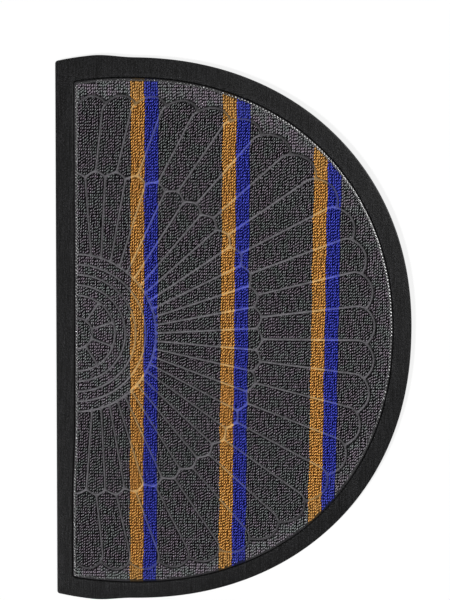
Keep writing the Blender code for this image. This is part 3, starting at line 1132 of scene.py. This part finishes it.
@cache
def loop_roots():
    """Where each loop stands, and its column's colour: 0 for the fields and 1 or 2 for a
    stripe. Also which field or pair it belongs to, and the turn of its diagonal row."""
    pile = settings("pile")
    rng = np.random.default_rng(ROOTS_SEED)
    first = -int((FIRST_STRIPE_X - PILE_START_X) / pile.column_pitch)
    last = int((MAT_WIDTH - FIRST_STRIPE_X) / pile.column_pitch)
    rows = int(PILE_HALF_LENGTH / pile.stitch_pitch)
    grid = np.meshgrid(np.arange(first, last), np.arange(-rows, rows), indexing="ij")
    column, row = (values.ravel() for values in grid)
    y = pile.stitch_pitch * (row + 0.5)
    slope = (column_shift(column + 1, y) - column_shift(column - 1, y)) / 2
    turn = np.arctan2(pile.stitch_pitch + slope, pile.column_pitch)
    y = y + column_shift(column, y) + rng.normal(0, pile.stray, column.shape)
    x = FIRST_STRIPE_X + pile.column_pitch * (column + 0.5)
    x += pile.wander * waves(COLUMN_WAVES, column, y)
    x += pile.band_sway * waves(BAND_WAVES, x, y)
    x += rng.normal(0, pile.stray, column.shape)
    in_repeat = np.mod(column, round(STRIPE_REPEAT / pile.column_pitch))
    stripe = in_repeat // round(STRIPE_WIDTH / pile.column_pitch)
    kind = np.where(stripe < 2, stripe + 1, 0)
    field = np.floor_divide(column, round(STRIPE_REPEAT / pile.column_pitch)) + 1
    keep = sample(pile_edge_map(), x, y) > ROOT_TO_EDGE
    keep &= sample(line_map(), x, y) > ROOT_TO_LINE
    return x[keep], y[keep], kind[keep], field[keep], turn[keep]


def loop_vertices(x, y, turn, rng):
    """Corner points of each loop, a bent tube, as an array by loop, section and corner."""
    pile = settings("pile")
    count = len(x)
    turn = turn + pile.turn + rng.normal(0, TURN_STRAY, count)
    half_length = pile.loop_length / 2 * rng.normal(1.0, LENGTH_STRAY, count)
    rise = PILE_DEPTH * np.clip(rng.normal(LOOP_RISE, RISE_STRAY, count), *RISE_LIMITS)
    lean = rng.normal(0.0, LEAN_STRAY, count)
    up = np.array([LOOP_FOOT, LOOP_SHOULDER, 1.0, LOOP_SHOULDER, LOOP_FOOT])
    radius = (np.array(LOOP_THICKNESS) * pile.yarn_width / 2)[None, :]
    dx, dy = np.cos(turn)[:, None], np.sin(turn)[:, None]
    widening = settings("press").flat_widening * sample(flattened_map(), x, y)
    wide = radius * (1 + widening)[:, None]
    middle_s = half_length[:, None] * LOOP_ALONG
    middle_z = (rise[:, None] - radius) * up
    middle_w = lean[:, None] * up
    corners = []
    for side, top in LOOP_CORNERS:
        s = middle_s - top * radius * np.sin(LOOP_TILT)
        z = middle_z + top * radius * np.cos(LOOP_TILT)
        w = middle_w + side * wide
        spot = (x[:, None] + s * dx - w * dy, y[:, None] + s * dy + w * dx, z)
        corners.append(np.stack(spot, axis=-1))
    return np.stack(corners, axis=2)


def loop_faces(count):
    """Faces of the tubes: rings of corners joined one after another, and both ends closed."""
    around = len(LOOP_CORNERS)
    points = around * len(LOOP_ALONG)
    quads = []
    for start in range(0, points - around, around):
        for corner in range(around):
            a, b = start + corner, start + (corner + 1) % around
            quads.append((a, b, b + around, a + around))
    quads += [range(around - 1, -1, -1), range(points - around, points)]
    quads = np.array([tuple(quad) for quad in quads])
    return (quads[None] + points * np.arange(count)[:, None, None]).reshape(-1, 4)


def mesh_from_arrays(name, vertices, faces):
    mesh = bpy.data.meshes.new(name)
    mesh.vertices.add(len(vertices))
    mesh.vertices.foreach_set("co", vertices.astype(np.float32).ravel())
    mesh.loops.add(faces.size)
    mesh.loops.foreach_set("vertex_index", faces.astype(np.int32).ravel())
    mesh.polygons.add(len(faces))
    mesh.polygons.foreach_set("loop_start", np.arange(0, faces.size, 4, dtype=np.int32))
    mesh.update(calc_edges=True)
    mesh.validate()
    mesh.shade_smooth()
    return mesh


def make_loops(name, chosen, material, seed):
    """A joined mesh of the chosen loops, pressed down by the lines and at the carpet's edge."""
    press = settings("press")
    rng = np.random.default_rng(seed)
    x, y, _, _, turn = (values[chosen] for values in loop_roots())
    vertices = loop_vertices(x, y, turn, rng)
    flat = sample(flattened_map(), x, y)[:, None, None]
    rise = vertices[..., 2] * sample(pile_map(), vertices[..., 0], vertices[..., 1])
    vertices[..., 2] = GROUND_TOP + rise * (1 - press.flat_press * flat)
    vertices[..., 2] = np.maximum(vertices[..., 2], LOWEST_YARN)
    vertices[..., 0] -= MAT_WIDTH / 2
    mesh = mesh_from_arrays(name, vertices.reshape(-1, 3), loop_faces(len(x)))
    tone = np.clip(rng.normal(1.0, TONE_STRAY, len(x)), *TONE_LIMITS)
    tone = tone * (1 - press.flat_shade * flat.ravel())
    add_attribute(mesh, "yarn_tone", np.repeat(tone, vertices[0, ..., 0].size))
    # Painted shade: each loop darkened towards its ends, sides and underside, and towards its foot
    # by height; flattened loops get less of it.
    along = (PAINTED_END_SHADE, PAINTED_SHOULDER_SHADE, 1.0, PAINTED_SHOULDER_SHADE, PAINTED_END_SHADE)
    top = np.outer(along, (1.0, PAINTED_SIDE_SHADE, PAINTED_UNDERSIDE_SHADE, PAINTED_SIDE_SHADE))[None]
    dark, light = PAINTED_SHADE_SPAN
    raised = np.clip((rise - dark) / (light - dark), 0, 1)
    filled = FLAT_PAINTED_SHADE_FILL * flat
    power = PAINTED_SHADE_POWER * (1 - FLAT_PAINTED_SHADE_EASE * flat)
    shade = raised**power * (filled + (1 - filled) * top)
    add_attribute(mesh, "painted_yarn_shade", shade.ravel())
    add_piece(name, mesh, [material])


def make_pile():
    """The charcoal loops, a mesh for each field, and the loops of the two kinds of stripe."""
    pile = settings("pile")
    _, _, kind, field, _ = loop_roots()
    yarn = yarn_material("charcoal_yarn", pile.charcoal, CHARCOAL_PAINTED_FOOT_SHADE, pile.tint)
    for number in sorted(set(field[kind == 0])):
        chosen = (kind == 0) & (field == number)
        make_loops(f"pile_field_{number + 1}", chosen, yarn, FIELD_SEED + int(number))
    for number, name, colour in ((1, "ochre", pile.ochre), (2, "blue", pile.blue)):
        yarn = yarn_material(f"{name}_yarn", colour, STRIPE_PAINTED_FOOT_SHADE)
        make_loops(f"pile_{name}", kind == number, yarn, STRIPE_SEED + number)


def lay_carpet():
    """Works out the sheet's cut outline, which nothing else uses."""
    cut = outline(CARPET_INSET)


def floor_material():
    """White floor, seen through from below so that the underside shows."""
    stage = settings("stage")
    material, tree, inputs = new_material("floor", 0.9, 0.2)
    below = add_node(tree, "ShaderNodeNewGeometry").outputs["Backfacing"]
    tree.links.new(calculate(tree, "SUBTRACT", 1.0, below), inputs["Alpha"])
    inputs["Base Color"].default_value = solid(stage.floor)
    inputs["Emission Color"].default_value = solid((1.0, 1.0, 1.0))
    inputs["Emission Strength"].default_value = stage.glow
    return material


def make_floor():
    bm = bmesh.new()
    bmesh.ops.create_grid(bm, x_segments=1, y_segments=1, size=FLOOR_REACH)
    bmesh.ops.translate(bm, verts=bm.verts, vec=(0.0, 0.0, -FLOOR_DROP))
    mesh = finished_mesh("floor", bm)
    mesh.materials.append(floor_material())
    new_object("floor", mesh)


def make_lamp(name, energy, turn, height, glossy):
    """A soft distant lamp that gives only gloss, or only plain light."""
    light = bpy.data.lights.new(name, "SUN")
    light.energy = energy / math.sin(height)
    light.angle = settings("stage").lamp_width
    lamp = new_object(name, light)
    level = math.cos(height)
    towards = Vector((level * math.cos(turn), level * math.sin(turn), math.sin(height)))
    lamp.rotation_euler = towards.to_track_quat("Z", "Y").to_euler()
    lamp.visible_diffuse = not glossy
    lamp.visible_glossy = glossy


def make_lights():
    stage = settings("stage")
    make_lamp("key", stage.key, stage.key_turn, stage.key_height, False)
    make_lamp("key_gloss", stage.key_gloss, stage.key_turn, stage.key_height, True)
    make_lamp("far_gloss", stage.far_gloss, stage.far_turn, stage.key_height, True)
    world = bpy.data.worlds.new("studio")
    world.use_nodes = True
    background = world.node_tree.nodes["Background"]
    background.inputs["Color"].default_value = (1.0, 1.0, 1.0, 1.0)
    background.inputs["Strength"].default_value = stage.sky
    bpy.context.scene.world = world
    bpy.context.scene.view_settings.view_transform = "Standard"


def make_camera():
    tilt = math.radians(CAMERA_TILT_DEG)
    back = Vector((0.0, math.sin(tilt), math.cos(tilt)))
    across = Vector((0.0, 1.0, 0.0)).cross(back).normalized()
    turned = Matrix((across, back.cross(across), back)).transposed()
    turned = turned @ Matrix.Rotation(math.radians(CAMERA_ROLL_DEG), 3, "Z")
    lens = bpy.data.cameras.new("camera")
    lens.lens = lens.sensor_width * LENS_PER_SENSOR
    lens.clip_start = 0.01
    camera = new_object("camera", lens)
    camera.location = Vector(CAMERA_TARGET) + settings("stage").distance * back
    camera.rotation_euler = turned.to_euler()
    bpy.context.scene.camera = camera


class DOORMAT_OT_stage(bpy.types.Operator):
    """Makes the floor, the lights and the camera."""

    bl_idname = "doormat.stage"
    bl_label = "Stage"

    def execute(self, context):
        make_floor()
        make_lights()
        make_camera()
        return {"FINISHED"}


class DOORMAT_OT_rubber_base(bpy.types.Operator):
    """Makes the moulded rubber base."""

    bl_idname = "doormat.rubber_base"
    bl_label = "Rubber base"

    def execute(self, context):
        make_rubber_base()
        return {"FINISHED"}


class DOORMAT_OT_carpet_sheet(bpy.types.Operator):
    """Makes the carpet's backing and its fused edge."""

    bl_idname = "doormat.carpet_sheet"
    bl_label = "Carpet backing"

    def execute(self, context):
        make_carpet_sheet()
        return {"FINISHED"}


class DOORMAT_OT_pressed_lines(bpy.types.Operator):
    """Makes the smooth lines of the fan."""

    bl_idname = "doormat.pressed_lines"
    bl_label = "Pressed lines"

    def execute(self, context):
        make_pressed_lines()
        return {"FINISHED"}


class DOORMAT_OT_carpet_rim(bpy.types.Operator):
    """Makes the fused rim round the carpet."""

    bl_idname = "doormat.carpet_rim"
    bl_label = "Carpet rim"

    def execute(self, context):
        make_carpet_rim()
        return {"FINISHED"}


class DOORMAT_OT_pile(bpy.types.Operator):
    """Makes the charcoal, ochre and blue loops."""

    bl_idname = "doormat.pile"
    bl_label = "Pile"

    def execute(self, context):
        make_pile()
        return {"FINISHED"}


class DOORMAT_OT_lay_carpet(bpy.types.Operator):
    """Works out the carpet sheet's cut outline, which nothing else uses."""

    bl_idname = "doormat.lay_carpet"
    bl_label = "Lay carpet"

    def execute(self, context):
        lay_carpet()
        return {"FINISHED"}


OPERATORS = (
    DOORMAT_OT_stage,
    DOORMAT_OT_rubber_base,
    DOORMAT_OT_carpet_sheet,
    DOORMAT_OT_pressed_lines,
    DOORMAT_OT_carpet_rim,
    DOORMAT_OT_pile,
    DOORMAT_OT_lay_carpet,
)


class DOORMAT_PT_panel(bpy.types.Panel):
    """Lists the doormat's pieces in the sidebar."""

    bl_idname = "DOORMAT_PT_panel"
    bl_label = "Doormat"
    bl_space_type = "VIEW_3D"
    bl_region_type = "UI"
    bl_category = "Doormat"

    def draw(self, context):
        for operator in OPERATORS:
            self.layout.operator(operator.bl_idname)


GROUPS = {
    "rubber": DOORMAT_PG_rubber,
    "pile": DOORMAT_PG_pile,
    "press": DOORMAT_PG_press,
    "stage": DOORMAT_PG_stage,
}


def register():
    for cls in (*GROUPS.values(), *OPERATORS, DOORMAT_PT_panel):
        bpy.utils.register_class(cls)
    for name, cls in GROUPS.items():
        setattr(bpy.types.Scene, "doormat_" + name, bpy.props.PointerProperty(type=cls))


def unregister():
    for name in GROUPS:
        delattr(bpy.types.Scene, "doormat_" + name)
    for cls in reversed((*GROUPS.values(), *OPERATORS, DOORMAT_PT_panel)):
        bpy.utils.unregister_class(cls)


def main():
    register()
    bpy.ops.doormat.stage()
    bpy.ops.doormat.rubber_base()
    bpy.ops.doormat.carpet_sheet()
    bpy.ops.doormat.pressed_lines()
    bpy.ops.doormat.carpet_rim()
    bpy.ops.doormat.pile()
    bpy.ops.doormat.lay_carpet()


if __name__ == "__main__":
    main()
